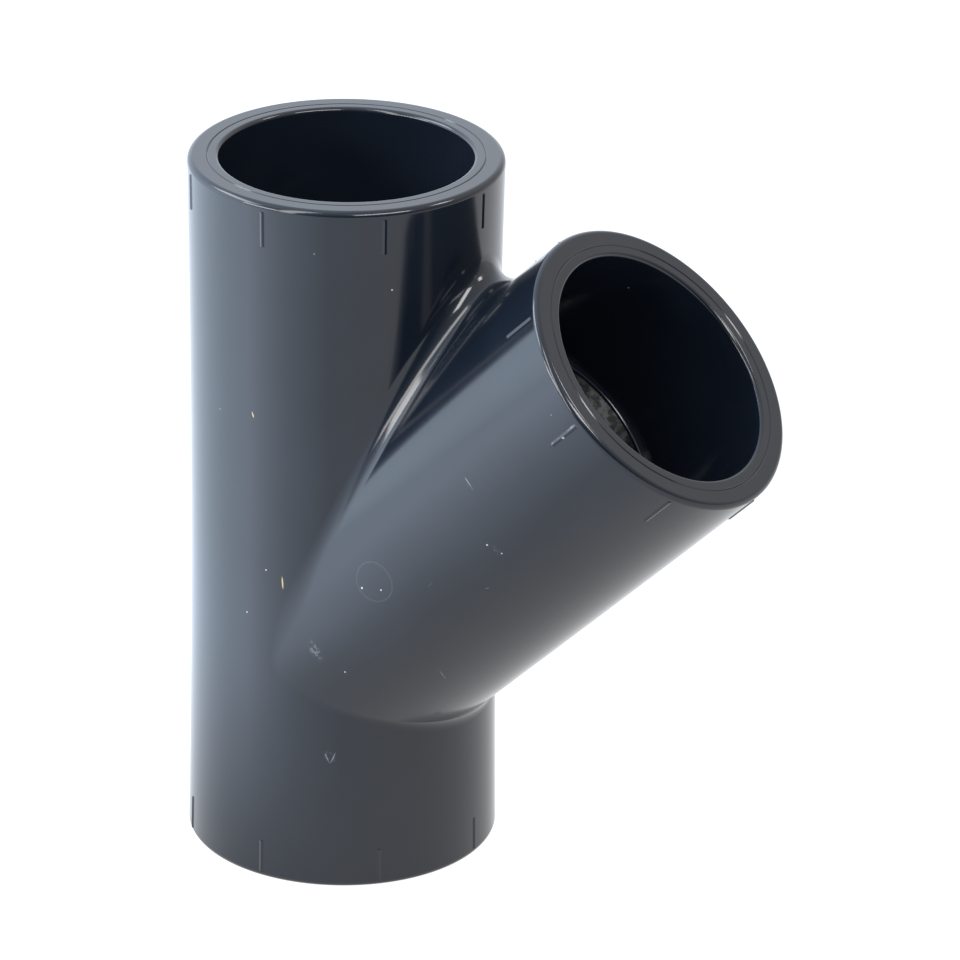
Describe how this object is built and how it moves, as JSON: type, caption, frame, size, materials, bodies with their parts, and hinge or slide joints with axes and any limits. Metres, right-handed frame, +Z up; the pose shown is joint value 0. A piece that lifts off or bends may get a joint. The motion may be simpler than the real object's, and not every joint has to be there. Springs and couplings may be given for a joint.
{
  "type": "lateral wye fitting",
  "caption": "Rigid plastic 45 degree wye: a straight run with a slanted branch, each end a plain round solvent-cement socket for pipe, to split or join a flow.",
  "frame": {"origin": "centre of the lower mouth of the straight run, in the plane of its end face", "axes": "+Z up the axis of the straight run; the branch leans from +Z towards +X in the XZ plane"},
  "size_m": [0.1001, 0.0506, 0.117],
  "materials": {
    "wye_body": "moulded dark grey rigid PVC, satin gloss, lightly scratched"
  },
  "bodies": {
    "root": {"wye_body": "wye_body"}
  },
  "joints": []
}
